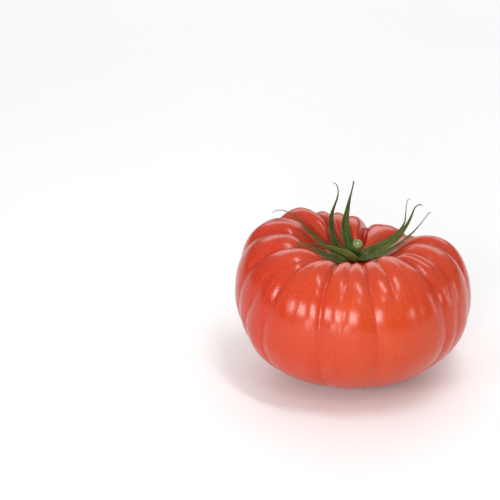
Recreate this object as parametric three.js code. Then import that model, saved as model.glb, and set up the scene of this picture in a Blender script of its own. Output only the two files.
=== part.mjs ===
// A ribbed beefsteak tomato standing on its blossom end, with its calyx and a cut stem stub.
// Millimetres. Z is up along the fruit's axis and the underside stands on z = 0.
// -Y is the front. Azimuths are in degrees, anticlockwise from +X seen from above.
import * as THREE from 'three';

// Sizes that drive everything else
const bodyWidth = 99.2;      // across the waist
const bodyHeight = 62;       // to the ring of rib crests around the stem cavity
const waistHeight = 31.5;    // height of the widest level
const cavityWidth = 54;      // crest to crest across the stem cavity
const cavityDepth = 11;      // from the crests down to the cavity floor
const footWidth = 18;        // flat spot the fruit stands on
const floorMargin = 1.7;     // level cavity floor beyond the stem's foot
const stemLength = 9;
const stemWidth = 4.3;       // at the cut end
const stemNeck = 3.9;        // at its thinnest
const stemLean = 26;         // degrees towards the front
const cutDish = 0.3;         // hollow of the cut end
const calyxWidth = 8.6;      // flared foot of the stem that the sepals grow around
const sepalWidth = 4.6;      // rear blade
const sepalThickness = 0.8;  // along the midrib, at the root
const rootHeight = 0.9;      // sepal roots above the cavity floor
const rootRun = 1.4;         // straight start of a sepal beside the stem's foot
const gap = 0.35;            // stem's foot to the cavity floor
const rootGap = 0.5;         // sepal roots to the stem's foot

// Sizes that follow
const waistRadius = bodyWidth / 2;
const crestRadius = cavityWidth / 2;
const floorHeight = bodyHeight - cavityDepth;
const floorRadius = calyxWidth / 2 + floorMargin;
const footRadius = footWidth / 2;

// Outline of one rib from the cavity to the foot
const shoulderFullness = 0.6;
const bellyReach = 0.47;
const bellyDrop = 0.56;
const cavityFlat = 0.6;
const cavityLip = 0.46;
const rearBulge = 0.27;      // the rear ribs swell into the cavity
const floorLevel = 0.2;

// Every rib: its azimuth, then what it adds to the crest height, the crest radius,
// the waist radius and the waist height
const ribs = [
  [10, -1.4, 3.0, 0, 0],
  [24, -3.5, 2.2, -1, 0],
  [39, -8.0, 0.5, -3, -1],
  [67, -5.6, -1.0, -4.4, 0],
  [90, -1.6, -1.5, -3, 0],
  [105, -0.6, 1.0, -1, 0],
  [116, 1.8, 1.8, 0, 2],
  [134, 4.0, 4.4, 0.6, 6],
  [160, 3.4, 4.4, 2.4, 9],
  [189, 2.4, 3.2, 1.5, 3],
  [215, 1.0, 2.5, 1.3, -3],
  [242, -0.6, 0.5, 0.8, -2],
  [259, -1.0, -1.0, 0, -1],
  [273, -1.0, -1.0, 0, 0],
  [286, -1.0, -1.5, 0, 0],
  [304, 0, -2.5, 0, 0],
  [326, -0.8, -0.5, 0, 0],
  [349, -1.0, 0.5, 0, 0],
];

// Every furrow between ribs: its azimuth at the crest and at the waist, its depth at the
// crest, the waist and the foot, and its spread in degrees
const furrows = [
  [28, 28, 2.2, 1.4, 0.4, 6],
  [53, 50, 3.8, 1.4, 0.4, 6],
  [81, 83, 6.6, 1.6, 0.4, 6],
  [98, 97, 2.4, 0.8, 0.2, 5],
  [111, 110, 2.6, 1.2, 0.3, 5],
  [122, 122, 5.2, 1.6, 0.4, 7],
  [146, 145, 5.6, 1.8, 0.4, 8],
  [176, 170, 4.4, 1.6, 0.4, 7],
  [204, 193, 3.2, 1.4, 0.3, 6],
  [229, 204, 1.0, 1.4, 0.3, 5],
  [232, 221, 2.4, 1.4, 0.3, 5],
  [252, 253, 3.0, 2.0, 0.8, 5],
  [266, 263, 1.2, 0.2, 0, 3],
  [278, 282, 2.4, 1.4, 0.6, 5],
  [292, 293, 1.5, 0.2, 0, 4],
  [317, 322.5, 3.0, 1.9, 0.6, 6],
  [328, 327, 1.0, 0, 0, 3],
  [337, 332, 2.6, 1.0, 0.3, 6],
  [362, 353, 3.0, 1.5, 0.4, 6],
];

// Every sepal: where its root sits around the stem, its width in sepal widths,
// how far its edges fold up, how far it rolls over, and its path. A path point is a distance from the axis in
// cavity radii, an azimuth, and a height above the cavity floor in cavity depths.
const sepals = [
  {
    name: 'sepal_left_high', root: 178, wide: 0.62, fold: 0.35, roll: -12,
    path: [[0.41, 169, 0.3], [0.61, 166, 0.6], [0.83, 165, 1.05], [0.96, 164, 1.36],
      [1.16, 164, 1.59], [1.29, 164, 1.58], [1.38, 163, 1.41]],
  },
  {
    name: 'sepal_left_low', root: 222, wide: 1, fold: 0.3, roll: -24,
    path: [[0.36, 212, 0.2], [0.53, 211, 0.38], [0.64, 210, 0.56], [0.77, 208, 0.81],
      [0.86, 207, 0.97], [0.93, 206, 1.06], [0.975, 206, 1.08], [0.995, 207, 1.02],
      [0.985, 208, 0.93]],
  },
  {
    name: 'sepal_left_folded', root: 272, wide: 1.02, fold: 0.45, roll: 8,
    path: [[0.285, 252, 0.33], [0.31, 234, 0.44], [0.36, 217, 0.52], [0.44, 207, 0.61],
      [0.53, 201, 0.7], [0.615, 197, 0.77], [0.68, 194, 0.77], [0.74, 192, 0.7]],
  },
  {
    name: 'sepal_rear_hooked', root: 140, wide: 0.88, fold: 0.3, roll: 0,
    path: [[0.36, 147, 0.24], [0.44, 143, 0.5], [0.53, 138, 0.85], [0.62, 129, 1.33],
      [0.665, 121, 1.65], [0.7, 116, 1.88], [0.76, 113, 2.14], [0.82, 114, 2.33],
      [0.85, 117, 2.37]],
  },
  {
    name: 'sepal_rear_straight', root: 100, wide: 1, fold: 0.3, roll: 0,
    path: [[0.29, 110, 0.3], [0.35, 115, 0.57], [0.43, 114, 1.0], [0.545, 104, 1.68],
      [0.645, 97, 2.2], [0.71, 94, 2.52]],
  },
  {
    name: 'sepal_right_thin', root: 50, wide: 0.6, fold: 0.3, roll: 0,
    path: [[0.36, 44, 0.2], [0.56, 35, 0.4], [0.72, 32, 0.62], [0.83, 32, 0.83],
      [0.885, 31, 1.1], [0.9, 31, 1.45], [0.905, 31, 1.78], [0.925, 31, 1.98],
      [0.955, 31, 2.03], [0.985, 31, 2.0]],
  },
  {
    name: 'sepal_right_broad', root: 7, wide: 1.15, fold: 0.35, roll: 22,
    path: [[0.33, 11, 0.34], [0.5, 15, 0.56], [0.655, 16, 0.85], [0.755, 17, 1.1],
      [0.83, 17, 1.3], [0.905, 17, 1.66], [0.955, 18, 1.9], [1.03, 18, 1.99],
      [1.08, 18, 1.94]],
  },
  {
    name: 'sepal_right_low', root: 322, wide: 0.8, fold: 0.35, roll: 14,
    path: [[0.35, 340, 0.24], [0.48, 351, 0.37], [0.59, 354, 0.53], [0.67, 356, 0.69],
      [0.75, 357, 0.86], [0.86, 358, 1.12], [0.96, 359, 1.42], [1.05, 0, 1.72],
      [1.12, 1, 1.94], [1.155, 1, 1.97]],
  },
];

const skinColumns = 6;       // facets across one rib
const radians = Math.PI / 180;

function clamp(x, low, high) {
  return Math.min(high, Math.max(low, x));
}

function smooth(low, high, x) {
  const t = clamp((x - low) / (high - low), 0, 1);
  return t * t * (3 - 2 * t);
}

function bezier(a, b, c, d, t) {
  const s = 1 - t;
  return s * s * s * a + 3 * s * s * t * b + 3 * s * t * t * c + t * t * t * d;
}

// The ribs' offsets at one azimuth, eased from each rib to the next
function ribOffsets(azimuth) {
  const first = ribs[0][0];
  const turned = first + ((((azimuth - first) % 360) + 360) % 360);
  let index = ribs.length - 1;
  while (ribs[index][0] > turned) {
    index -= 1;
  }
  const here = ribs[index];
  const next = ribs[(index + 1) % ribs.length];
  const nextAt = index + 1 < ribs.length ? next[0] : next[0] + 360;
  const t = smooth(here[0], nextAt, turned);
  return [1, 2, 3, 4].map((k) => here[k] + (next[k] - here[k]) * t);
}

// A point of the unfurrowed outline. Levels: 0 cavity centre, 1 crest, 2 waist,
// 3 edge of the foot, 4 blossom end.
function outline(azimuth, level) {
  const [crestLift, crestOut, waistOut, waistLift] = ribOffsets(azimuth);
  const topZ = bodyHeight + crestLift;
  const topR = crestRadius + crestOut;
  const midR = waistRadius + waistOut;
  const midZ = waistHeight + waistLift;
  if (level <= floorLevel) {
    return [floorRadius * level / floorLevel, floorHeight];
  }
  if (level <= 1) {
    const t = (level - floorLevel) / (1 - floorLevel);
    const wide = topR - floorRadius;
    const turned = azimuth - 360 * Math.floor(azimuth / 360);
    const swell = rearBulge * smooth(40, 72, turned) * (1 - smooth(138, 172, turned));
    const flat = cavityFlat - swell;
    const lip = cavityLip + swell;
    const r = bezier(floorRadius, floorRadius + flat * wide, topR - lip * wide, topR, t);
    return [r, bezier(floorHeight, floorHeight, topZ, topZ, t)];
  }
  if (level <= 2) {
    const t = level - 1;
    const r = bezier(topR, topR + shoulderFullness * (midR - topR), midR, midR, t);
    return [r, bezier(topZ, topZ, midZ + shoulderFullness * (topZ - midZ), midZ, t)];
  }
  if (level <= 3) {
    const t = level - 2;
    const r = bezier(midR, midR, footRadius + bellyReach * (midR - footRadius), footRadius, t);
    return [r, bezier(midZ, midZ * (1 - bellyDrop), 0, 0, t)];
  }
  return [footRadius * (4 - level), 0];
}

function furrowAzimuth(furrow, level) {
  return furrow[0] + (furrow[1] - furrow[0]) * clamp(level - 1, -0.6, 1);
}

function furrowDepth(azimuth, level) {
  let depth = 0;
  for (const furrow of furrows) {
    const [, , crest, waist, foot, spread] = furrow;
    let here = crest * smooth(0.1, 0.75, level);
    if (level >= 1) {
      here = crest + (waist - crest) * smooth(1, 2, level);
    }
    if (level >= 2) {
      here = waist + (foot - waist) * smooth(2, 3, level);
    }
    if (level >= 3) {
      here = foot * (1 - smooth(3, 3.3, level));
    }
    here *= 1 - 0.7 * smooth(2.1, 2.8, level);
    let away = azimuth - furrowAzimuth(furrow, level);
    away -= 360 * Math.round(away / 360);
    depth += here * Math.exp(0.04 - Math.hypot(away / spread, 0.04));
  }
  return depth;
}

// A point of the skin: the outline pushed in along its normal by the furrows
function skinPoint(azimuth, level) {
  const step = 0.002;
  const [r, z] = outline(azimuth, level);
  const [r0, z0] = outline(azimuth, Math.max(level - step, 0));
  const [r1, z1] = outline(azimuth, Math.min(level + step, 4));
  const length = Math.hypot(r1 - r0, z1 - z0);
  const depth = furrowDepth(azimuth, level);
  const across = Math.max(r + depth * (z1 - z0) / length, 0.2);
  const up = Math.max(z - depth * (r1 - r0) / length, 0);
  return [across * Math.cos(azimuth * radians), across * Math.sin(azimuth * radians), up];
}

// Joins rings of points into one closed body, with a point closing each end
function closedSkin(rings, firstPole, lastPole) {
  const count = rings[0].length;
  const points = [firstPole, ...rings.flat(), lastPole];
  const last = points.length - 1;
  const faces = [];
  for (let i = 0; i < count; i += 1) {
    const j = (i + 1) % count;
    faces.push(0, 1 + j, 1 + i);
    faces.push(last, last - count + i, last - count + j);
    for (let k = 0; k + 1 < rings.length; k += 1) {
      const a = 1 + k * count + i;
      const b = 1 + k * count + j;
      faces.push(a, b, b + count, a, b + count, a + count);
    }
  }
  const geometry = new THREE.BufferGeometry();
  geometry.setAttribute('position', new THREE.Float32BufferAttribute(points.flat(), 3));
  geometry.setIndex(faces);
  geometry.computeVertexNormals();
  return geometry;
}

function centreOf(ring) {
  return [0, 1, 2].map((k) => ring.reduce((sum, point) => sum + point[k], 0) / ring.length);
}

function addPart(group, name, geometry, color, roughness) {
  const material = new THREE.MeshStandardMaterial({ color, roughness, metalness: 0 });
  const mesh = new THREE.Mesh(geometry, material);
  mesh.name = name;
  group.add(mesh);
}

// The fruit: columns run along the furrows and ribs, so every furrow stays crisp
function fruitGeometry() {
  const levels = [0.1, 0.2, 0.32, 0.42, 0.52, 0.62, 0.72, 0.82, 0.91, 1, 1.09, 1.18, 1.27, 1.37,
    1.47, 1.58, 1.7, 1.83, 1.96, 2.1, 2.24, 2.38, 2.52, 2.64, 2.75, 2.85, 2.93, 3, 3.12, 3.3, 3.65];
  const rings = levels.map((level) => {
    const ring = [];
    for (let i = 0; i < furrows.length; i += 1) {
      const here = furrowAzimuth(furrows[i], level);
      const wrap = i + 1 < furrows.length ? 0 : 360;
      const next = furrowAzimuth(furrows[(i + 1) % furrows.length], level) + wrap;
      for (let k = 0; k < skinColumns; k += 1) {
        ring.push(skinPoint(here + (next - here) * k / skinColumns, level));
      }
    }
    return ring;
  });
  return closedSkin(rings.reverse(), [0, 0, 0], [0, 0, floorHeight]);
}

// The stem stub leans to the front from a flared foot on the cavity floor
function stemGeometry() {
  const neck = stemNeck / 2;
  const end = stemWidth / 2;
  const foot = calyxWidth / 2;
  const profile = [
    [0, foot * 0.9],
    [0.05, foot],
    [0.12, foot * 0.93],
    [0.2, neck * 1.45],
    [0.32, neck * 1.12],
    [0.5, neck],
    [0.7, neck],
    [0.86, end * 0.94],
    [0.95, end],
    [1, end * 0.86],
  ];
  const rings = profile.map(([along, radius]) => {
    const lean = stemLean * smooth(0.05, 0.6, along) * radians;
    const rise = stemLength * along;
    const centre = [rise * 0.09, -rise * Math.sin(lean) * 0.95, rise * Math.cos(lean * 0.8)];
    const ring = [];
    for (let i = 0; i < 18; i += 1) {
      const turn = i * 20 * radians;
      const side = radius * Math.cos(turn);
      const deep = radius * Math.sin(turn);
      ring.push([
        centre[0] + side,
        centre[1] + deep * Math.cos(lean),
        floorHeight + gap + centre[2] + deep * Math.sin(lean),
      ]);
    }
    return ring;
  });
  const cut = centreOf(rings[rings.length - 1]);
  cut[1] += cutDish * Math.sin(stemLean * radians);
  cut[2] -= cutDish * Math.cos(stemLean * radians);
  return closedSkin(rings, centreOf(rings[0]), cut);
}

// One sepal: a folded strip that narrows from its shoulder to a fine tip
function sepalGeometry(sepal) {
  const rootRadius = calyxWidth / 2 + rootGap;
  const clearRadius = rootRadius + rootRun;
  const rootZ = floorHeight + rootHeight;
  const spot = (out, azimuth, up) => new THREE.Vector3(
    crestRadius * out * Math.cos(azimuth * radians),
    crestRadius * out * Math.sin(azimuth * radians),
    floorHeight + cavityDepth * up,
  );
  const rootX = Math.cos(sepal.root * radians);
  const rootY = Math.sin(sepal.root * radians);
  const points = [
    new THREE.Vector3(rootRadius * rootX, rootRadius * rootY, rootZ),
    new THREE.Vector3(clearRadius * rootX, clearRadius * rootY, rootZ + 0.5),
    ...sepal.path.map(([out, azimuth, up]) => spot(out, azimuth, up)),
  ];
  const curve = new THREE.CatmullRomCurve3(points, false, 'centripetal');
  const stations = 22;
  const side = new THREE.Vector3(-rootY, rootX, 0);
  const rings = [];
  for (let k = 0; k <= stations; k += 1) {
    const t = k / stations;
    const centre = curve.getPointAt(t);
    const ahead = curve.getTangentAt(t);
    side.addScaledVector(ahead, -side.dot(ahead)).normalize();
    const turn = sepal.roll * smooth(0, 0.3, t) * radians;
    const across = side.clone().applyAxisAngle(ahead, turn);
    const up = new THREE.Vector3().crossVectors(ahead, across).normalize();
    const swell = 0.6 + 0.4 * smooth(0, 0.22, t);
    const half = sepalWidth / 2 * sepal.wide * swell * (1 - 0.86 * smooth(0.12, 0.92, t));
    const thick = sepalThickness * (0.52 - 0.25 * t);
    const rise = half * sepal.fold;
    const shape = [
      [-1, rise], [-0.5, rise * 0.35 - thick * 0.8], [0, -thick], [0.5, rise * 0.35 - thick * 0.8],
      [1, rise], [0.5, rise * 0.35 + thick * 0.6], [0, thick * 0.7], [-0.5, rise * 0.35 + thick * 0.6],
    ];
    rings.push(shape.map(([out, lift]) => centre.clone()
      .addScaledVector(across, out * half)
      .addScaledVector(up, lift)
      .toArray()));
  }
  return closedSkin(rings, centreOf(rings[0]), centreOf(rings[rings.length - 1]));
}

const tomato = new THREE.Group();
tomato.name = 'tomato';
addPart(tomato, 'fruit', fruitGeometry(), '#c9301c', 0.25);
addPart(tomato, 'stem_stub', stemGeometry(), '#4f6a30', 0.7);
for (const sepal of sepals) {
  addPart(tomato, sepal.name, sepalGeometry(sepal), '#41602a', 0.75);
}

export default tomato;
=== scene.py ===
import math
import random

import bpy
import numpy as np
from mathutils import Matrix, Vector


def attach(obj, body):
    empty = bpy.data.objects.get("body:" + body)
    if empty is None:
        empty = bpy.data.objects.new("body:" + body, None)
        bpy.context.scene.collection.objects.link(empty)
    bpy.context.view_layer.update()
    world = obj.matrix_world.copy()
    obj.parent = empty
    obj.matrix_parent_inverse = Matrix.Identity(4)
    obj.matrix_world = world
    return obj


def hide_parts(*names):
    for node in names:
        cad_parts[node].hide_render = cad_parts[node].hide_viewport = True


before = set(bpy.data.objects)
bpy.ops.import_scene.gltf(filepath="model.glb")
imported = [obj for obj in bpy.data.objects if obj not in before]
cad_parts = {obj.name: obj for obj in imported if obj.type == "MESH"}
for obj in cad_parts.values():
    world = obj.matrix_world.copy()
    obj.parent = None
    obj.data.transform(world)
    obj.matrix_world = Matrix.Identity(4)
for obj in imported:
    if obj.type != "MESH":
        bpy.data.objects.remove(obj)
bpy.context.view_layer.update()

mm = 0.001
scene = bpy.context.scene


# small tools for shapes

def smooth(low, high, x):
    t = np.clip((np.asarray(x, float) - low) / (high - low), 0, 1)
    return t * t * (3 - 2 * t)


def bezier(a, b, c, d, t):
    s = 1 - t
    return s ** 3 * a + 3 * s * s * t * b + 3 * s * t * t * c + t ** 3 * d


def polar(radius, azimuth, height):
    turn = np.radians(azimuth)
    return np.stack([radius * np.cos(turn), radius * np.sin(turn), height], -1)


def nearestTurn(degrees):
    # the same angle between -180 and 180
    return degrees - 360 * np.round(degrees / 360)


def withPoles(rows, first, last):
    # a value for every point of the rings, with one for the pole at each end
    return np.concatenate([[first], np.ravel(rows), [last]])


def makePiece(name, points, faces, material, node=None):
    mesh = bpy.data.meshes.new(name)
    mesh.from_pydata([tuple(p) for p in np.asarray(points) * mm], [], faces)
    mesh.update()
    mesh.polygons.foreach_set("use_smooth", [True] * len(mesh.polygons))
    mesh.materials.append(material)
    piece = bpy.data.objects.new(name, mesh)
    scene.collection.objects.link(piece)
    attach(piece, "root")
    if node:
        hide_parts(node)
    return piece


def giveValues(piece, name, values):
    layer = piece.data.attributes.new(name, "FLOAT", "POINT")
    layer.data.foreach_set("value", np.asarray(values, np.float32).ravel())


def giveVectors(piece, name, values):
    layer = piece.data.attributes.new(name, "FLOAT_VECTOR", "POINT")
    layer.data.foreach_set("vector", np.asarray(values, np.float32).ravel())


def ringFaces(rings, count):
    # quads between rings laid one after another, and a fan to a pole at each end
    faces = []
    last = 1 + rings * count
    for i in range(count):
        j = (i + 1) % count
        faces.append((0, 1 + j, 1 + i))
        faces.append((last, last - count + i, last - count + j))
    for k in range(rings - 1):
        for i in range(count):
            a = 1 + k * count + i
            b = 1 + k * count + (i + 1) % count
            faces.append((a, b, b + count, a + count))
    return faces


# small tools for finishes

def newFinish(name):
    finish = bpy.data.materials.new(name)
    finish.use_nodes = True
    nodes = finish.node_tree.nodes
    return finish, nodes, finish.node_tree.links, nodes["Principled BSDF"]


def attribute(nodes, name):
    node = nodes.new("ShaderNodeAttribute")
    node.attribute_name = name
    return node


def noise(nodes, links, vector, scale, detail=3, roughness=0.5):
    node = nodes.new("ShaderNodeTexNoise")
    node.inputs["Scale"].default_value = scale
    node.inputs["Detail"].default_value = detail
    node.inputs["Roughness"].default_value = roughness
    links.new(vector, node.inputs["Vector"])
    return node.outputs["Fac"]


def stretch(nodes, links, vector, scale):
    node = nodes.new("ShaderNodeMapping")
    node.inputs["Scale"].default_value = scale
    links.new(vector, node.inputs["Vector"])
    return node.outputs["Vector"]


def fit(nodes, links, value, low, high, toLow, toHigh):
    node = nodes.new("ShaderNodeMapRange")
    node.inputs["From Min"].default_value = low
    node.inputs["From Max"].default_value = high
    node.inputs["To Min"].default_value = toLow
    node.inputs["To Max"].default_value = toHigh
    links.new(value, node.inputs["Value"])
    return node.outputs["Result"]


def maths(nodes, links, operation, a, b):
    node = nodes.new("ShaderNodeMath")
    node.operation = operation
    for socket, value in zip(node.inputs, (a, b)):
        if isinstance(value, (int, float)):
            socket.default_value = value
        else:
            links.new(value, socket)
    return node.outputs["Value"]


def blendColours(nodes, links, amount, a, b):
    node = nodes.new("ShaderNodeMix")
    node.data_type = "RGBA"
    sockets = [s for s in node.inputs if s.type == "RGBA"]
    for socket, value in zip(sockets, (a, b)):
        if isinstance(value, tuple):
            socket.default_value = (*value, 1)
        else:
            links.new(value, socket)
    links.new(amount, node.inputs[0])
    return next(s for s in node.outputs if s.type == "RGBA")


def relief(nodes, links, height, distance, strength, under=None):
    node = nodes.new("ShaderNodeBump")
    node.inputs["Distance"].default_value = distance
    node.inputs["Strength"].default_value = strength
    links.new(height, node.inputs["Height"])
    if under:
        links.new(under, node.inputs["Normal"])
    return node.outputs["Normal"]


# camera

camera = {
    "distance": 0.9,
    "elevation": 25,
    "lens": 152.6,
    "sensor": 36,
    "look": (0, 0, 31 * mm),       # middle of the fruit
    "aside": -44.86 * mm,          # the view is centred left of the fruit
    "above": 21.08 * mm,           # and a little over it
}


def placeCamera():
    tilt = math.radians(camera["elevation"])
    back = Vector((0, -math.cos(tilt), math.sin(tilt)))
    up = Vector((0, math.sin(tilt), math.cos(tilt)))
    middle = Vector(camera["look"])
    data = bpy.data.cameras.new("camera")
    data.lens = camera["lens"]
    data.sensor_width = camera["sensor"]
    data.clip_start = 0.01
    holder = bpy.data.objects.new("camera", data)
    scene.collection.objects.link(holder)
    holder.location = middle + back * camera["distance"]
    aim = middle + Vector((camera["aside"], 0, 0)) + up * camera["above"]
    holder.rotation_euler = (aim - holder.location).to_track_quat("-Z", "Y").to_euler()
    scene.camera = holder


placeCamera()
print("camera placed")


# fruit: sizes in millimetres, azimuths in degrees anticlockwise from +X

fruit = {
    "bodyHeight": 62,
    "waistHeight": 31.5,
    "waistRadius": 49.6,
    "crestRadius": 27,
    "cavityDepth": 11,
    "floorRadius": 6,
    "footRadius": 9,
    "shoulder": 0.6,
    "bellyReach": 0.47,
    "bellyDrop": 0.56,
    "cavityFlat": 0.6,
    "cavityLip": 0.46,
    "rearBulge": 0.27,             # the rear ribs swell into the cavity
    "rearBulgeFrom": (40, 72),
    "rearBulgeTo": (138, 172),
    "floorLevel": 0.2,
    "furrowFade": 0.7,             # how much of a furrow is gone at the foot
    "furrowSoftness": 0.04,        # rounding of its bottom, as a share of its spread
    "puckerDepth": 0.06,           # small puckers in front of the calyx
    "puckerAzimuth": 264,
    "puckerSpread": 34,
    "lineDepth": 0.024,            # faint lines down the shoulders
    "dentDepth": 0.16,             # slow dents in the flesh
    "scarDepth": 0.7,
    "scarRadius": 3.2,
    "scarCork": (0.9, 2.1),        # radii where the blossom scar turns from cork to skin
    "columns": 24,                 # facets across one rib
    "crowding": 0.45,              # how much closer the facets are beside a furrow
    "rows": (6, 46, 56, 42, 14),   # floor, cavity wall, shoulder, belly and foot
}

# azimuth, then added to crest height, crest radius, waist radius, waist height
ribs = [
    (10, -1.4, 3.0, 0, 0),
    (24, -3.5, 2.2, -1, 0),
    (39, -8.0, 0.5, -3, -1),
    (67, -5.6, -1.0, -4.4, 0),
    (90, -1.6, -1.5, -3, 0),
    (105, -0.6, 1.0, -1, 0),
    (116, 1.8, 1.8, 0, 2),
    (134, 4.0, 4.4, 0.6, 6),
    (160, 3.4, 4.4, 2.4, 9),
    (189, 2.4, 3.2, 1.5, 3),
    (215, 1.0, 2.5, 1.3, -3),
    (242, -0.6, 0.5, 0.8, -2),
    (259, -1.0, -1.0, 0, -1),
    (273, -1.0, -1.0, 0, 0),
    (286, -1.0, -1.5, 0, 0),
    (304, 0, -2.5, 0, 0),
    (326, -0.8, -0.5, 0, 0),
    (349, -1.0, 0.5, 0, 0),
]

# azimuth at the crest and the waist, depth at the crest, the waist and the foot, spread
furrows = [
    (28, 28, 2.2, 1.4, 0.4, 6),
    (53, 50, 3.8, 1.4, 0.4, 6),
    (81, 83, 6.6, 1.6, 0.4, 6),
    (98, 97, 2.4, 0.8, 0.2, 5),
    (111, 110, 2.6, 1.2, 0.3, 5),
    (122, 122, 5.2, 1.6, 0.4, 7),
    (146, 145, 5.6, 1.8, 0.4, 8),
    (176, 170, 4.4, 1.6, 0.4, 7),
    (204, 193, 3.2, 1.4, 0.3, 6),
    (229, 204, 1.0, 1.4, 0.3, 5),
    (232, 221, 2.4, 1.4, 0.3, 5),
    (252, 253, 3.0, 2.0, 0.8, 5),
    (266, 263, 1.2, 0.2, 0, 3),
    (278, 282, 2.4, 1.4, 0.6, 5),
    (292, 293, 1.5, 0.2, 0, 4),
    (317, 322.5, 3.0, 1.9, 0.6, 6),
    (328, 327, 1.0, 0, 0, 3),
    (337, 332, 2.6, 1.0, 0.3, 6),
    (362, 353, 3.0, 1.5, 0.4, 6),
]

# shallow hollows that run part of the way down a rib
hollows = [
    (240, 238, 0.5, 0.35, 0, 4),
    (265, 262, 0.3, 0.45, 0.1, 4),
    (304, 305, 0.5, 0.3, 0, 5),
    (18, 12, 0.6, 0.3, 0, 5),
    (160, 157, 0.7, 0.3, 0, 5),
]

# short corky cracks beside the calyx: azimuth, level from and to, width in degrees
cracks = [
    (249.5, 0.82, 1.02, 0.5),
    (251.5, 0.80, 1.08, 0.7),
    (253.5, 0.84, 1.05, 0.5),
    (256.0, 0.86, 1.00, 0.4),
    (240.5, 0.86, 1.02, 0.4),
    (296.0, 0.88, 1.04, 0.4),
    (331.0, 0.82, 1.00, 0.5),
    (186.0, 0.80, 0.98, 0.5),
    (62.0, 0.70, 0.92, 0.6),
    (118.0, 0.72, 0.94, 0.6),
]


def ribOffsets(azimuth):
    first = ribs[0][0]
    turned = first + np.mod(azimuth - first, 360)
    at = np.array([r[0] for r in ribs] + [first + 360], float)
    table = np.array([r[1:] for r in ribs] + [ribs[0][1:]], float)
    index = np.clip(np.searchsorted(at, turned, side="right") - 1, 0, len(ribs) - 1)
    t = smooth(0, 1, (turned - at[index]) / (at[index + 1] - at[index]))[..., None]
    offsets = table[index] * (1 - t) + table[index + 1] * t
    return [offsets[..., k] for k in range(4)]


def outline(azimuth, level):
    # levels: 0 cavity centre, 1 crest, 2 waist, 3 edge of the foot, 4 blossom end
    f = fruit
    lift, out, waistOut, waistLift = ribOffsets(azimuth)
    topZ, topR = f["bodyHeight"] + lift, f["crestRadius"] + out
    midR, midZ = f["waistRadius"] + waistOut, f["waistHeight"] + waistLift
    floorZ, floorR, footR = f["bodyHeight"] - f["cavityDepth"], f["floorRadius"], f["footRadius"]
    r = np.zeros(level.shape)
    z = np.zeros(level.shape)
    part = level <= f["floorLevel"]
    r[part] = (floorR * level / f["floorLevel"])[part]
    z[part] = floorZ
    t = (level - f["floorLevel"]) / (1 - f["floorLevel"])
    wide = topR - floorR
    turned = np.mod(azimuth, 360)
    swell = f["rearBulge"] * smooth(*f["rearBulgeFrom"], turned) * (1 - smooth(*f["rearBulgeTo"], turned))
    flat, lip = f["cavityFlat"] - swell, f["cavityLip"] + swell
    part = (level > f["floorLevel"]) & (level <= 1)
    r[part] = bezier(floorR, floorR + flat * wide, topR - lip * wide, topR, t)[part]
    z[part] = bezier(floorZ, floorZ, topZ, topZ, t)[part]
    t = level - 1
    part = (level > 1) & (level <= 2)
    r[part] = bezier(topR, topR + f["shoulder"] * (midR - topR), midR, midR, t)[part]
    z[part] = bezier(topZ, topZ, midZ + f["shoulder"] * (topZ - midZ), midZ, t)[part]
    t = level - 2
    part = (level > 2) & (level <= 3)
    r[part] = bezier(midR, midR, footR + f["bellyReach"] * (midR - footR), footR, t)[part]
    z[part] = bezier(midZ, midZ * (1 - f["bellyDrop"]), 0, 0, t)[part]
    part = level > 3
    r[part] = (footR * (4 - level))[part]
    return r, z


def furrowAzimuth(furrow, level):
    return furrow[0] + (furrow[1] - furrow[0]) * np.clip(level - 1, -0.6, 1)


def furrowDepth(lines, azimuth, level):
    depth = np.zeros(level.shape)
    soft = fruit["furrowSoftness"]
    for line in lines:
        crest, waist, foot, spread = line[2:]
        here = crest * smooth(0.1, 0.75, level)
        here = np.where(level >= 1, crest + (waist - crest) * smooth(1, 2, level), here)
        here = np.where(level >= 2, waist + (foot - waist) * smooth(2, 3, level), here)
        here = np.where(level >= 3, foot * (1 - smooth(3, 3.3, level)), here)
        here = here * (1 - fruit["furrowFade"] * smooth(2.1, 2.8, level))
        away = nearestTurn(azimuth - furrowAzimuth(line, level))
        depth += here * np.exp(soft - np.hypot(away / spread, soft))
    return depth


def fineRelief(azimuth, level):
    # waves of different lengths round the fruit, each only on its own part of the outline
    f = fruit
    turn = np.radians(azimuth)
    pucker = np.sin(41 * turn + 2 * np.sin(5 * turn)) + 0.6 * np.sin(67 * turn + 1.3)
    pucker *= np.exp(-((np.mod(azimuth, 360) - f["puckerAzimuth"]) / f["puckerSpread"]) ** 2)
    pucker *= f["puckerDepth"] * smooth(0.25, 0.6, level) * (1 - smooth(0.95, 1.35, level))
    lines = np.sin(53 * turn + 1.7 * level) + 0.4 * np.sin(83 * turn - 0.9 * level + 2)
    lines *= f["lineDepth"] * smooth(0.9, 1.2, level) * (1 - smooth(1.9, 2.7, level))
    dents = np.sin(3.1 * turn + 2.3 * level) * np.sin(7 * turn - 3.7 * level + 1)
    dents *= f["dentDepth"] * smooth(1, 1.4, level) * (1 - smooth(2.5, 3, level))
    return pucker + lines + dents


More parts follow.
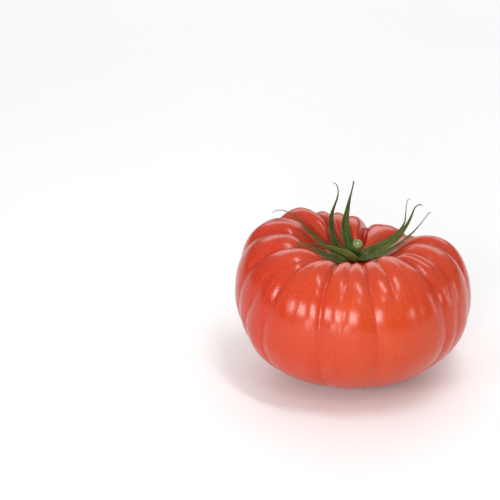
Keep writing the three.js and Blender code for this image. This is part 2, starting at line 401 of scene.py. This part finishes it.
def makeFruit(finish):
    f = fruit
    stops = (0.03, f["floorLevel"], 1, 2, 3, 3.97)
    level = np.concatenate([np.linspace(start, end, count, endpoint=end == stops[-1])
                            for start, end, count in zip(stops, stops[1:], f["rows"])])[::-1]
    share = np.arange(f["columns"]) / f["columns"]
    share = (1 - f["crowding"]) * share + f["crowding"] * smooth(0, 1, share)
    columns = []
    firstAgain = (furrows[0][0] + 360, furrows[0][1] + 360)
    for here, beyond in zip(furrows, furrows[1:] + [firstAgain]):
        a = furrowAzimuth(here, level)[:, None]
        b = furrowAzimuth(beyond, level)[:, None]
        columns.append(a + (b - a) * share[None, :])
    azimuth = np.concatenate(columns, 1)
    level = np.repeat(level[:, None], azimuth.shape[1], 1)
    step = 0.002                   # for the slope of the outline
    r, z = outline(azimuth, level)
    r0, z0 = outline(azimuth, np.maximum(level - step, 0))
    r1, z1 = outline(azimuth, np.minimum(level + step, 4))
    length = np.hypot(r1 - r0, z1 - z0)
    cut = furrowDepth(furrows, azimuth, level)
    depth = cut + furrowDepth(hollows, azimuth, level) + fineRelief(azimuth, level)
    across = np.maximum(r + depth * (z1 - z0) / length, 0.02)
    up = np.maximum(z - depth * (r1 - r0) / length, 0)
    up += f["scarDepth"] * (1 - smooth(0, f["scarRadius"], across)) * (level > 3)
    points = polar(across, azimuth, up)
    bottom = (0, 0, up[0].mean())
    top = (0, 0, f["bodyHeight"] - f["cavityDepth"])
    everyPoint = np.concatenate([[bottom], points.reshape(-1, 3), [top]])
    faces = ringFaces(level.shape[0], level.shape[1])
    piece = makePiece("fruitSkin", everyPoint, faces, finish, "fruit")
    turn = np.radians(azimuth)
    grain = np.stack([np.cos(turn), np.sin(turn), level], -1).reshape(-1, 3)
    giveVectors(piece, "grain", np.concatenate([[(0, 0, 4)], grain, [(0, 0, 0)]]))
    # the furrow depth, which the skin finish uses to paint shade along the furrows
    giveValues(piece, "furrow", withPoles(np.clip(cut / 3, 0, 1), 0, 0))
    cork = np.zeros(level.shape)
    for at, start, end, width in cracks:
        away = nearestTurn(azimuth - at)
        run = smooth(start - 0.04, start + 0.02, level) * (1 - smooth(end - 0.06, end + 0.02, level))
        cork = np.maximum(cork, run * np.exp(-(away / width) ** 2))
    cork = np.maximum(cork, (1 - smooth(*f["scarCork"], across)) * (level > 3))
    giveValues(piece, "cork", withPoles(cork, 1, 0))
    return piece


skin = {
    # painted shade: this deepest red stands for shade on the -X side of the fruit
    "shadedSideRed": (0.420, 0.008, 0.002),
    "red": (0.470, 0.026, 0.004),
    "orange": (0.520, 0.053, 0.008),
    # painted shade along the furrows; the same red also makes random dark flecks in the dust
    "furrowShadeAndFleckRed": (0.430, 0.010, 0.003),
    "speck": (0.720, 0.200, 0.070),
    "cork": (0.230, 0.100, 0.035),
    "shadedSide": (-0.052, -0.012),  # metres along X over which the painted shade of the -X side fades out
    "sideShadeAmount": 0.75,
    "streaks": (26, 26, 0.9),      # waves round the fruit, and from cavity to foot
    "fineStreaks": (90, 90, 2.2),
    "cloudScale": 28,
    "dotScale": 1300,
    "dustScale": 2100,
    "corkScale": 1800,
    "poreScale": 700,
    "poreDepth": 0.00003,
    "streakDepth": 0.00012,
    "corkDepth": 0.0002,
    "roughness": 0.22,
    "flesh": 0.15,                 # how much light passes under the skin
    "fleshDepth": 0.004,
    "fleshTint": (1.0, 0.22, 0.1),
    "wax": 0.1,
    "waxRoughness": 0.16,
    "ior": 1.40,
}


def skinFinish():
    finish, nodes, links, shader = newFinish("ripeSkin")
    place = nodes.new("ShaderNodeTexCoord").outputs["Object"]
    grain = attribute(nodes, "grain").outputs["Vector"]
    streaks = noise(nodes, links, stretch(nodes, links, grain, skin["streaks"]), 1, 4, 0.55)
    fineStreaks = noise(nodes, links, stretch(nodes, links, grain, skin["fineStreaks"]), 1, 3)
    clouds = noise(nodes, links, place, skin["cloudScale"], 3, 0.6)

    def lay(amount, over, under):
        return blendColours(nodes, links, amount, under, over)

    # ground colour, from red to orange in clouds and streaks, then painted shade: deeper red on the -X
    # side and along the furrows
    mottle = maths(nodes, links, "ADD", maths(nodes, links, "MULTIPLY", streaks, 0.3),
                   maths(nodes, links, "MULTIPLY", clouds, 0.7))
    colour = lay(fit(nodes, links, mottle, 0.25, 0.72, 0, 1), skin["orange"], skin["red"])
    # painted shade: deeper red laid over the -X side of the fruit, fading out towards the middle
    sides = nodes.new("ShaderNodeSeparateXYZ")
    links.new(place, sides.inputs[0])
    sideShade = fit(nodes, links, sides.outputs["X"], *skin["shadedSide"], skin["sideShadeAmount"], 0)
    colour = lay(sideShade, skin["shadedSideRed"], colour)
    colour = lay(fit(nodes, links, fineStreaks, 0.5, 0.75, 0, 0.1), skin["orange"], colour)
    # painted shade: darker red laid along the furrows, deeper where the cut is deeper
    furrow = fit(nodes, links, attribute(nodes, "furrow").outputs["Fac"], 0.25, 1, 0, 0.45)
    colour = lay(furrow, skin["furrowShadeAndFleckRed"], colour)

    # pale dots and fine dust
    dots = nodes.new("ShaderNodeTexVoronoi")
    dots.inputs["Scale"].default_value = skin["dotScale"]
    links.new(place, dots.inputs["Vector"])
    colour = lay(fit(nodes, links, dots.outputs["Distance"], 0.10, 0.26, 0.22, 0), skin["speck"], colour)
    dust = noise(nodes, links, place, skin["dustScale"], 2, 0.7)
    colour = lay(fit(nodes, links, dust, 0.5, 0.8, 0, 0.3), skin["speck"], colour)
    colour = lay(fit(nodes, links, dust, 0.2, 0.5, 0.3, 0), skin["furrowShadeAndFleckRed"], colour)

    # cork in the cracks and the blossom scar
    rough = noise(nodes, links, place, skin["corkScale"], 2)
    cork = attribute(nodes, "cork").outputs["Fac"]
    corky = maths(nodes, links, "MULTIPLY", cork, fit(nodes, links, rough, 0.3, 0.6, 0.5, 1))
    colour = lay(corky, skin["cork"], colour)
    links.new(colour, shader.inputs["Base Color"])

    gloss = fit(nodes, links, clouds, 0.3, 0.7, skin["roughness"] - 0.03, skin["roughness"] + 0.04)
    gloss = maths(nodes, links, "ADD", gloss, maths(nodes, links, "MULTIPLY", corky, 0.4))
    links.new(gloss, shader.inputs["Roughness"])
    bump = relief(nodes, links, noise(nodes, links, place, skin["poreScale"], 3), skin["poreDepth"], 0.5)
    bump = relief(nodes, links, fineStreaks, skin["streakDepth"], 0.35, bump)
    bump = relief(nodes, links, corky, skin["corkDepth"], 0.6, bump)
    links.new(bump, shader.inputs["Normal"])
    shader.inputs["Subsurface Weight"].default_value = skin["flesh"]
    shader.inputs["Subsurface Radius"].default_value = skin["fleshTint"]
    shader.inputs["Subsurface Scale"].default_value = skin["fleshDepth"]
    shader.inputs["Coat Weight"].default_value = skin["wax"]
    shader.inputs["Coat Roughness"].default_value = skin["waxRoughness"]
    shader.inputs["IOR"].default_value = skin["ior"]
    return finish


fruitSkin = makeFruit(skinFinish())
print("fruit made,", len(fruitSkin.data.polygons), "faces")


# calyx: the stem stub, and the sepals that grow round its foot, sizes in millimetres

stem = {
    "length": 9,
    "endRadius": 2.15,
    "neckRadius": 1.9,
    "footRadius": 4.3,
    "lean": 26,
    "faceTilt": 40,                # the cut faces further forward than the stub leans
    "seat": 51.35,                 # height of the foot
    "ridges": 9,
    "around": 60,                  # points round each ring
    "face": [                      # rings of the cut face: share of its radius, and depth
        (0.84, -0.03), (0.76, 0.02), (0.66, 0.16), (0.52, 0.22),
        (0.4, 0.16), (0.28, 0.14), (0.16, 0.24), (0.07, 0.3),
    ],
}

# root: azimuth where it leaves the foot; full: share of the length before it narrows, 0.14 if left out
# path: distance from the axis in crest radii, azimuth, height over the cavity floor in cavity depths
sepals = {
    "sepalLeftHigh": {
        "node": "sepal_left_high", "root": 178, "wide": 0.62, "fold": 0.35, "roll": -12, "tone": 0.35,
        "path": [(0.41, 169, 0.3), (0.61, 166, 0.6), (0.83, 165, 1.05), (0.96, 164, 1.36),
                 (1.16, 164, 1.59), (1.29, 164, 1.58), (1.38, 163, 1.41)],
    },
    "sepalLeftLow": {
        "node": "sepal_left_low", "root": 222, "wide": 1.15, "fold": 0.25, "roll": -20, "tone": 0.5,
        "full": 0.36,
        "path": [(0.36, 212, 0.2), (0.53, 211, 0.38), (0.64, 210, 0.56), (0.77, 208, 0.81),
                 (0.86, 207, 0.97), (0.93, 206, 1.06), (0.975, 206, 1.08), (0.995, 207, 1.02),
                 (0.985, 208, 0.93)],
    },
    "sepalLeftFolded": {
        "node": "sepal_left_folded", "root": 272, "wide": 1.0, "fold": 0.45, "roll": 8, "tone": 0.95,
        "full": 0.34,
        "path": [(0.285, 252, 0.33), (0.31, 234, 0.44), (0.36, 217, 0.52), (0.44, 207, 0.61),
                 (0.53, 201, 0.7), (0.615, 197, 0.77), (0.68, 194, 0.77), (0.74, 192, 0.7)],
    },
    "sepalRearHooked": {
        "node": "sepal_rear_hooked", "root": 140, "wide": 0.92, "fold": 0.3, "roll": 0, "tone": 0.1,
        "path": [(0.36, 147, 0.24), (0.44, 143, 0.5), (0.53, 138, 0.85), (0.62, 129, 1.33),
                 (0.665, 121, 1.65), (0.7, 116, 1.88), (0.76, 113, 2.14), (0.82, 114, 2.33),
                 (0.85, 117, 2.37)],
    },
    "sepalRearStraight": {
        "node": "sepal_rear_straight", "root": 100, "wide": 1, "fold": 0.3, "roll": 0, "tone": 0.15,
        "path": [(0.29, 110, 0.3), (0.35, 115, 0.57), (0.43, 114, 1.0), (0.545, 104, 1.68),
                 (0.645, 97, 2.2), (0.71, 94, 2.52)],
    },
    "sepalRightThin": {
        "node": "sepal_right_thin", "root": 50, "wide": 0.6, "fold": 0.3, "roll": 0, "tone": 0.4,
        "path": [(0.36, 44, 0.2), (0.56, 35, 0.4), (0.72, 32, 0.62), (0.83, 32, 0.83),
                 (0.885, 31, 1.1), (0.9, 31, 1.45), (0.905, 31, 1.78), (0.925, 31, 1.98),
                 (0.955, 31, 2.03), (0.985, 31, 2.0)],
    },
    "sepalRightBroad": {
        "node": "sepal_right_broad", "root": 7, "wide": 1.15, "fold": 0.35, "roll": 22, "tone": 0.55,
        "path": [(0.33, 9, 0.3), (0.5, 13, 0.48), (0.655, 15, 0.73), (0.755, 16, 0.97),
                 (0.83, 17, 1.2), (0.905, 17, 1.6), (0.955, 18, 1.87), (1.03, 18, 1.97),
                 (1.08, 18, 1.92)],
    },
    "sepalRightLow": {
        "node": "sepal_right_low", "root": 322, "wide": 0.82, "fold": 0.35, "roll": 14, "tone": 0.5,
        "path": [(0.35, 340, 0.24), (0.48, 351, 0.37), (0.59, 354, 0.53), (0.67, 356, 0.69),
                 (0.75, 357, 0.86), (0.86, 358, 1.12), (0.96, 359, 1.42), (1.05, 0, 1.72),
                 (1.12, 1, 1.94), (1.155, 1, 1.97)],
    },
}

blade = {
    "halfWidth": 2.6,
    "rootHeight": 0.9,
    "rootRadius": 2.4,             # the blade starts inside the stem's foot
    "clearRadius": 6.2,
    "rootShare": 0.82,             # width at the root, as a share of the full width
    "tailShare": 0.13,             # and at the tail
    "thickness": 0.5,
    "midrib": 0.32,
    "midribWidth": 0.16,
    "wave": 0.1,
    "stations": 84,
    "topPoints": 11,
    "underPoints": 9,
}


def curveThrough(points, count):
    # a Catmull-Rom curve, sampled evenly along its length
    p = np.asarray(points, float)
    p = np.concatenate([[2 * p[0] - p[1]], p, [2 * p[-1] - p[-2]]])
    dense = []
    for k in range(1, len(p) - 2):
        gaps = [max(np.linalg.norm(p[k + j] - p[k + j - 1]) ** 0.5, 1e-4) for j in range(3)]
        t0, t1, t2, t3 = 0, gaps[0], gaps[0] + gaps[1], sum(gaps)
        t = np.linspace(t1, t2, 40, endpoint=k == len(p) - 3)[:, None]
        a1 = (t1 - t) / (t1 - t0) * p[k - 1] + (t - t0) / (t1 - t0) * p[k]
        a2 = (t2 - t) / (t2 - t1) * p[k] + (t - t1) / (t2 - t1) * p[k + 1]
        a3 = (t3 - t) / (t3 - t2) * p[k + 1] + (t - t2) / (t3 - t2) * p[k + 2]
        b1 = (t2 - t) / (t2 - t0) * a1 + (t - t0) / (t2 - t0) * a2
        b2 = (t3 - t) / (t3 - t1) * a2 + (t - t1) / (t3 - t1) * a3
        dense.append((t2 - t) / (t2 - t1) * b1 + (t - t1) / (t2 - t1) * b2)
    dense = np.concatenate(dense)
    run = np.concatenate([[0], np.cumsum(np.linalg.norm(np.diff(dense, axis=0), axis=1))])
    even = np.linspace(0, run[-1], count)
    return np.stack([np.interp(even, run, dense[:, k]) for k in range(3)], 1)


def makeSepal(name, spec, finish):
    b, f = blade, fruit
    floorZ = f["bodyHeight"] - f["cavityDepth"]
    rootZ = floorZ + b["rootHeight"]
    path = [polar(b["rootRadius"], spec["root"], rootZ - 0.1),
            polar(stem["footRadius"] + 0.4, spec["root"], rootZ + 0.1),
            polar(b["clearRadius"], spec["root"], rootZ + 0.5)]
    path += [polar(f["crestRadius"] * out, azimuth, floorZ + f["cavityDepth"] * up)
             for out, azimuth, up in spec["path"]]
    centre = curveThrough(path, b["stations"])
    ahead = np.gradient(centre, axis=0)
    ahead /= np.linalg.norm(ahead, axis=1)[:, None]
    t = np.linspace(0, 1, b["stations"])
    random.seed(spec["root"])
    phase = random.random() * 6
    side = polar(1, spec["root"] + 90, 0)
    u = np.concatenate([np.linspace(-1, 1, b["topPoints"]),
                        np.linspace(1, -1, b["underPoints"] + 2)[1:-1]])
    isTop = np.arange(len(u)) < b["topPoints"]
    points, along, across, under = [], [], [], []
    for k in range(b["stations"]):
        side = side - ahead[k] * side.dot(ahead[k])
        side /= np.linalg.norm(side)
        turn = math.radians(spec["roll"]) * float(smooth(0, 0.3, t[k]))
        out = side * math.cos(turn) + np.cross(ahead[k], side) * math.sin(turn)
        up = np.cross(ahead[k], out)
        swell = b["rootShare"] + (1 - b["rootShare"]) * smooth(0.02, 0.24, t[k])
        taper = 1 - (1 - b["tailShare"]) * smooth(spec.get("full", 0.14), 0.92, t[k])
        tip = math.sqrt(max(1 - max(t[k] - 0.985, 0) / 0.0155, 0.02))
        half = b["halfWidth"] * spec["wide"] * swell * taper * tip
        thick = b["thickness"] * (0.55 - 0.3 * t[k]) * tip
        sag = half * spec["fold"] * (np.sqrt(u * u + 0.02) - 0.14) * (1 - 0.25 * u * u)
        wave = b["wave"] * half * np.sin(t[k] * 21 + phase + u * 1.3) * np.abs(u)
        edge = np.sqrt(np.maximum(1 - u * u, 0))
        rib = b["midrib"] * (1 - t[k]) * np.exp(-(u / b["midribWidth"]) ** 2)
        lift = sag + wave + np.where(isTop, thick * edge * 0.7 - rib * 0.35, -thick * edge - rib)
        points.append(centre[k] + u[:, None] * half * out + lift[:, None] * up)
        along.append(np.full(len(u), t[k]))
        across.append(u[::-1])
        under.append(np.where(isTop, 0.0, 1.0)[::-1])
    rings = np.array(points)[:, ::-1]
    first, last = rings[0].mean(0), rings[-1].mean(0) + ahead[-1] * 0.05
    everyPoint = np.concatenate([[first], rings.reshape(-1, 3), [last]])
    faces = ringFaces(b["stations"], len(u))
    piece = makePiece(name, everyPoint, faces, finish, spec["node"])
    giveValues(piece, "along", withPoles(along, 0, 1))
    giveValues(piece, "across", withPoles(across, 0, 0))
    giveValues(piece, "under", withPoles(under, 0.5, 0.5))
    giveValues(piece, "tone", np.full(len(everyPoint), spec["tone"]))
    return piece


def makeStem(finish):
    s = stem
    along = np.concatenate([np.linspace(0, 0.3, 16), np.linspace(0.3, 0.84, 24)[1:],
                            np.linspace(0.84, 1, 12)[1:]])
    count = s["around"]
    spin = np.arange(count) * 2 * math.pi / count
    profile = np.interp(along, [0, 0.05, 0.12, 0.2, 0.32, 0.5, 0.7, 0.86, 0.95, 1], [
        s["footRadius"] * 0.9, s["footRadius"], s["footRadius"] * 0.93, s["neckRadius"] * 1.5,
        s["neckRadius"] * 1.14, s["neckRadius"], s["neckRadius"], s["endRadius"] * 0.95,
        s["endRadius"], s["endRadius"] * 0.9])
    profile = np.convolve(np.pad(profile, 1, "edge"), [0.25, 0.5, 0.25], "valid")
    rings, heights, cuts = [], [], []

    def addRing(a, radius, drop, cut):
        lean = math.radians(s["lean"] * float(smooth(0.05, 0.6, a)))
        tilt = lean + math.radians(s["faceTilt"] - s["lean"]) * float(smooth(0.55, 1, a))
        rise = s["length"] * a
        middle = np.array([rise * 0.09, -rise * math.sin(lean) * 0.95,
                           s["seat"] + rise * math.cos(lean * 0.8)])
        facing = np.array([0, -math.sin(tilt), math.cos(tilt)])
        outward = np.stack([np.cos(spin), np.sin(spin) * math.cos(tilt), np.sin(spin) * math.sin(tilt)], 1)
        rings.append(middle + outward * radius[:, None] - facing * drop)
        heights.append(np.full(count, a))
        cuts.append(np.full(count, cut))

    for a, radius in zip(along, profile):
        foot = 1 - smooth(0.06, 0.22, a)
        neck = smooth(0.12, 0.3, a) * (1 - smooth(0.9, 1, a))
        ridge = 1 + 0.045 * neck * np.cos(s["ridges"] * spin + 1.5 * a) + 0.02 * np.cos(3 * spin + 4 * a)
        lobes = np.zeros(count)
        for spec in sepals.values():
            lobes += np.exp(-(nearestTurn(np.degrees(spin) - spec["root"]) / 15) ** 2)
        ring = radius * (ridge + foot * (0.2 * lobes - 0.1))
        addRing(a, ring, 0, 0)
    wobble = 1 + 0.03 * np.cos(4 * spin + 1) + 0.02 * np.cos(7 * spin)
    for share, drop in s["face"]:
        addRing(1, s["endRadius"] * share * wobble, drop, 1 - share)
    rings = np.array(rings)
    everyPoint = np.concatenate([[rings[0].mean(0)], rings.reshape(-1, 3), [rings[-1].mean(0)]])
    piece = makePiece("stemStub", everyPoint, ringFaces(len(rings), count), finish, "stem_stub")
    giveValues(piece, "along", withPoles(heights, 0, 1))
    giveValues(piece, "cut", withPoles(cuts, 0, 1))
    return piece


hairs = {
    "onStem": 420,
    "onSepal": 150,
    "length": 0.75,
    "radius": 0.022,
    "sunk": 0.05,                  # how far a hair starts under the surface
    "bareFoot": 0.6,               # no hairs on this height of the stem's foot
    "roughness": 0.5,
    "colour": (0.28, 0.35, 0.15),
}


def makeHairs(pieces, finish):
    # short stiff hairs, each a closed spike standing on the green parts
    random.seed(4)
    points, faces = [], []
    for piece in pieces:
        mesh = piece.data
        number = hairs["onStem"] if piece.name == "stemStub" else hairs["onSepal"]
        cut = mesh.attributes.get("cut")
        weights = [polygon.area for polygon in mesh.polygons]
        for polygon in random.choices(mesh.polygons, weights, k=number):
            if cut and cut.data[polygon.vertices[0]].value > 0:
                continue
            base = np.array(polygon.center) / mm
            if piece.name == "stemStub" and base[2] < stem["seat"] + hairs["bareFoot"]:
                continue
            normal = Vector(polygon.normal)
            lean = Vector([random.uniform(-0.5, 0.5) for k in range(3)])
            way = (normal + lean).normalized()
            side = way.orthogonal().normalized()
            other = way.cross(side)
            length = hairs["length"] * random.uniform(0.4, 1.1)
            start = len(points)
            for k in range(3):
                turn = 2 * math.pi * k / 3
                foot = (side * math.cos(turn) + other * math.sin(turn)) * hairs["radius"]
                points.append(base + np.array(foot) - np.array(way) * hairs["sunk"])
            points.append(base + np.array(way) * length)
            faces += [(start, start + 1, start + 3), (start + 1, start + 2, start + 3),
                      (start + 2, start, start + 3), (start + 2, start + 1, start)]
    return makePiece("calyxHairs", points, faces, finish)


greens = {
    "dark": (0.017, 0.031, 0.005),
    "leaf": (0.053, 0.086, 0.013),
    "olive": (0.115, 0.108, 0.012),
    "edge": (0.150, 0.205, 0.050),
    "dry": (0.150, 0.135, 0.060),
    "roughness": 0.6,
    "shine": 0.14,
    "fuzz": 0.06,
    "fuzzRoughness": 0.5,
    "fuzzTint": (0.75, 0.85, 0.55),
    "through": 0.12,               # light that passes through a sepal
    "throughDepth": 0.0008,
    "throughTint": (0.5, 1.0, 0.2),
    "blotchScale": 420,
    "grainScale": 1500,
    "veinDepth": 0.0003,
    "downScale": 1900,             # the fine down felt on a sepal
    "downDepth": 0.00022,
    "stemBlotchScale": 700,
    "bruiseScale": 520,
    "fibreScale": 2200,
    "fibreDepth": 0.0002,
    "bruise": (0.45, 0.26, 0.18),
    "cut": [                       # colours of the cut face, from its rim to its middle
        (0, (0.10, 0.14, 0.045)), (0.2, (0.15, 0.20, 0.075)), (0.36, (0.22, 0.28, 0.13)),
        (0.5, (0.09, 0.13, 0.04)), (0.64, (0.13, 0.18, 0.07)), (0.8, (0.33, 0.36, 0.21)),
        (1, (0.36, 0.38, 0.24)),
    ],
}


def greenGloss(shader):
    shader.inputs["Roughness"].default_value = greens["roughness"]
    shader.inputs["Specular IOR Level"].default_value = greens["shine"]
    shader.inputs["Sheen Weight"].default_value = greens["fuzz"]
    shader.inputs["Sheen Roughness"].default_value = greens["fuzzRoughness"]
    shader.inputs["Sheen Tint"].default_value = (*greens["fuzzTint"], 1)


def sepalFinish():
    finish, nodes, links, shader = newFinish("sepalGreen")
    place = nodes.new("ShaderNodeTexCoord").outputs["Object"]
    along = attribute(nodes, "along").outputs["Fac"]
    across = attribute(nodes, "across").outputs["Fac"]
    under = attribute(nodes, "under").outputs["Fac"]
    tone = attribute(nodes, "tone").outputs["Fac"]
    blotch = noise(nodes, links, place, greens["blotchScale"], 4, 0.6)
    grain = noise(nodes, links, place, greens["grainScale"], 3, 0.7)
    fromMiddle = maths(nodes, links, "ABSOLUTE", across, 0)
    colour = greens["dark"]
    for amount, over in [
        (fit(nodes, links, blotch, 0.35, 0.7, 0, 1), "leaf"),
        (maths(nodes, links, "MULTIPLY", tone, 0.8), "olive"),
        (maths(nodes, links, "MULTIPLY", under, 0.22), "edge"),
        (fit(nodes, links, fromMiddle, 0.72, 1, 0, 0.6), "edge"),
        (fit(nodes, links, fromMiddle, 0, 0.13, 0.35, 0), "edge"),      # the midrib
        (fit(nodes, links, along, 0.7, 1, 0, 0.35), "dry"),
        (fit(nodes, links, grain, 0.5, 0.72, 0, 0.55), "edge"),
        (fit(nodes, links, grain, 0.28, 0.46, 0.6, 0), "dark"),
    ]:
        colour = blendColours(nodes, links, amount, colour, greens[over])
    links.new(colour, shader.inputs["Base Color"])
    joined = nodes.new("ShaderNodeCombineXYZ")
    links.new(maths(nodes, links, "MULTIPLY", across, 6), joined.inputs["X"])
    links.new(maths(nodes, links, "MULTIPLY", along, 9), joined.inputs["Y"])
    links.new(under, joined.inputs["Z"])
    veins = noise(nodes, links, joined.outputs["Vector"], 1.4, 3)
    down = noise(nodes, links, place, greens["downScale"], 3, 0.6)
    bump = relief(nodes, links, veins, greens["veinDepth"], 0.8)
    bump = relief(nodes, links, down, greens["downDepth"], 0.9, bump)
    links.new(bump, shader.inputs["Normal"])
    greenGloss(shader)
    shader.inputs["Subsurface Weight"].default_value = greens["through"]
    shader.inputs["Subsurface Radius"].default_value = greens["throughTint"]
    shader.inputs["Subsurface Scale"].default_value = greens["throughDepth"]
    return finish


def stemFinish():
    finish, nodes, links, shader = newFinish("stemGreen")
    place = nodes.new("ShaderNodeTexCoord").outputs["Object"]
    along = attribute(nodes, "along").outputs["Fac"]
    cut = attribute(nodes, "cut").outputs["Fac"]
    blotch = noise(nodes, links, place, greens["stemBlotchScale"], 4, 0.6)
    colour = blendColours(nodes, links, fit(nodes, links, blotch, 0.3, 0.7, 0, 1),
                          greens["dark"], greens["leaf"])
    colour = blendColours(nodes, links, fit(nodes, links, along, 0.3, 0.9, 0.1, 0.7),
                          colour, greens["edge"])
    ramp = nodes.new("ShaderNodeValToRGB")
    links.new(cut, ramp.inputs["Fac"])
    stops = ramp.color_ramp.elements
    for stop, (position, shade) in zip((stops[0], stops[1]), (greens["cut"][0], greens["cut"][-1])):
        stop.position = position
        stop.color = (*shade, 1)
    for position, shade in greens["cut"][1:-1]:
        stops.new(position).color = (*shade, 1)
    colour = blendColours(nodes, links, fit(nodes, links, cut, 0.05, 0.15, 0, 1),
                          colour, ramp.outputs["Color"])
    bruise = fit(nodes, links, noise(nodes, links, place, greens["bruiseScale"], 2), 0.58, 0.68, 0, 0.5)
    bruise = maths(nodes, links, "MULTIPLY", bruise, fit(nodes, links, cut, 0.1, 0.2, 0, 1))
    colour = blendColours(nodes, links, bruise, colour, greens["bruise"])
    links.new(colour, shader.inputs["Base Color"])
    fibres = noise(nodes, links, stretch(nodes, links, place, (1, 1, 0.25)), greens["fibreScale"], 3)
    links.new(relief(nodes, links, fibres, greens["fibreDepth"], 0.7), shader.inputs["Normal"])
    greenGloss(shader)
    return finish


def hairFinish():
    finish, nodes, links, shader = newFinish("paleHair")
    shade = noise(nodes, links, nodes.new("ShaderNodeTexCoord").outputs["Object"], 300, 2)
    colour = blendColours(nodes, links, shade, hairs["colour"], greens["edge"])
    links.new(colour, shader.inputs["Base Color"])
    shader.inputs["Roughness"].default_value = hairs["roughness"]
    return finish


sepalGreen = sepalFinish()
calyx = [makeStem(stemFinish())]
calyx += [makeSepal(name, spec, sepalGreen) for name, spec in sepals.items()]
makeHairs(calyx, hairFinish())
print("calyx made,", len(calyx), "green parts")


# table, surroundings and lamps

surroundings = {
    "table": (0.91, 0.91, 0.91),
    "tableShade": (0.88, 0.88, 0.885),
    "tableRoughness": 0.7,
    "tableReach": 6,               # metres from the fruit to the table's edge
    "room": (1.0, 0.99, 0.985),
    "overhead": 0.7,               # brightness of the room straight up
    "horizon": 0.08,               # and level with the table
}

# azimuth, elevation, distance, width and height in metres, power in watts
lamps = {
    "frontLeft": (222, 16, 0.90, 0.26, 0.20, 2.30),
    "frontMiddle": (264, 19, 0.90, 0.20, 0.26, 2.80),
    "frontLow": (250, 3, 0.90, 0.40, 0.10, 0.90),
    "frontRight": (330, 13, 0.90, 0.12, 0.14, 0.60),
    "above": (312, 74, 0.80, 0.09, 0.36, 1.60),
    "high": (286, 50, 0.80, 0.07, 0.09, 0.32),
    "left": (182, 8, 0.80, 0.12, 0.40, 0.12),
    "right": (8, 5, 0.80, 0.06, 0.40, 0.50),
    "behind": (90, 30, 1.40, 1.60, 0.70, 6.50),
}


def makeTable():
    finish, nodes, links, shader = newFinish("paleTable")
    cloud = noise(nodes, links, nodes.new("ShaderNodeTexCoord").outputs["Object"], 3, 2)
    colour = blendColours(nodes, links, fit(nodes, links, cloud, 0.3, 0.7, 0, 1),
                          surroundings["table"], surroundings["tableShade"])
    links.new(colour, shader.inputs["Base Color"])
    shader.inputs["Roughness"].default_value = surroundings["tableRoughness"]
    mesh = bpy.data.meshes.new("table")
    far = surroundings["tableReach"]
    mesh.from_pydata([(-far, -far, 0), (far, -far, 0), (far, far, 0), (-far, far, 0)], [], [(0, 1, 2, 3)])
    mesh.materials.append(finish)
    table = bpy.data.objects.new("table", mesh)
    scene.collection.objects.link(table)


def makeRoom():
    room = bpy.data.worlds.new("room")
    room.use_nodes = True
    nodes, links = room.node_tree.nodes, room.node_tree.links
    light = nodes["Background"]
    light.inputs["Color"].default_value = (*surroundings["room"], 1)
    way = nodes.new("ShaderNodeSeparateXYZ")
    links.new(nodes.new("ShaderNodeTexCoord").outputs["Generated"], way.inputs[0])
    rise = fit(nodes, links, way.outputs["Z"], 0, 0.75, surroundings["horizon"], surroundings["overhead"])
    links.new(rise, light.inputs["Strength"])
    scene.world = room


def makeLamps():
    middle = Vector(camera["look"])
    for name, (azimuth, elevation, distance, width, height, power) in lamps.items():
        turn, rise = math.radians(azimuth), math.radians(elevation)
        way = Vector((math.cos(turn) * math.cos(rise), math.sin(turn) * math.cos(rise), math.sin(rise)))
        data = bpy.data.lights.new(name, "AREA")
        data.shape = "RECTANGLE"
        data.size, data.size_y = width, height
        data.energy = power
        lamp = bpy.data.objects.new(name, data)
        scene.collection.objects.link(lamp)
        lamp.visible_camera = False    # the panel itself isn't seen
        lamp.location = middle + way * distance
        lamp.rotation_euler = (-way).to_track_quat("-Z", "Y").to_euler()


makeTable()
makeRoom()
makeLamps()
scene.view_settings.view_transform = "Standard"
print("table and lamps placed")
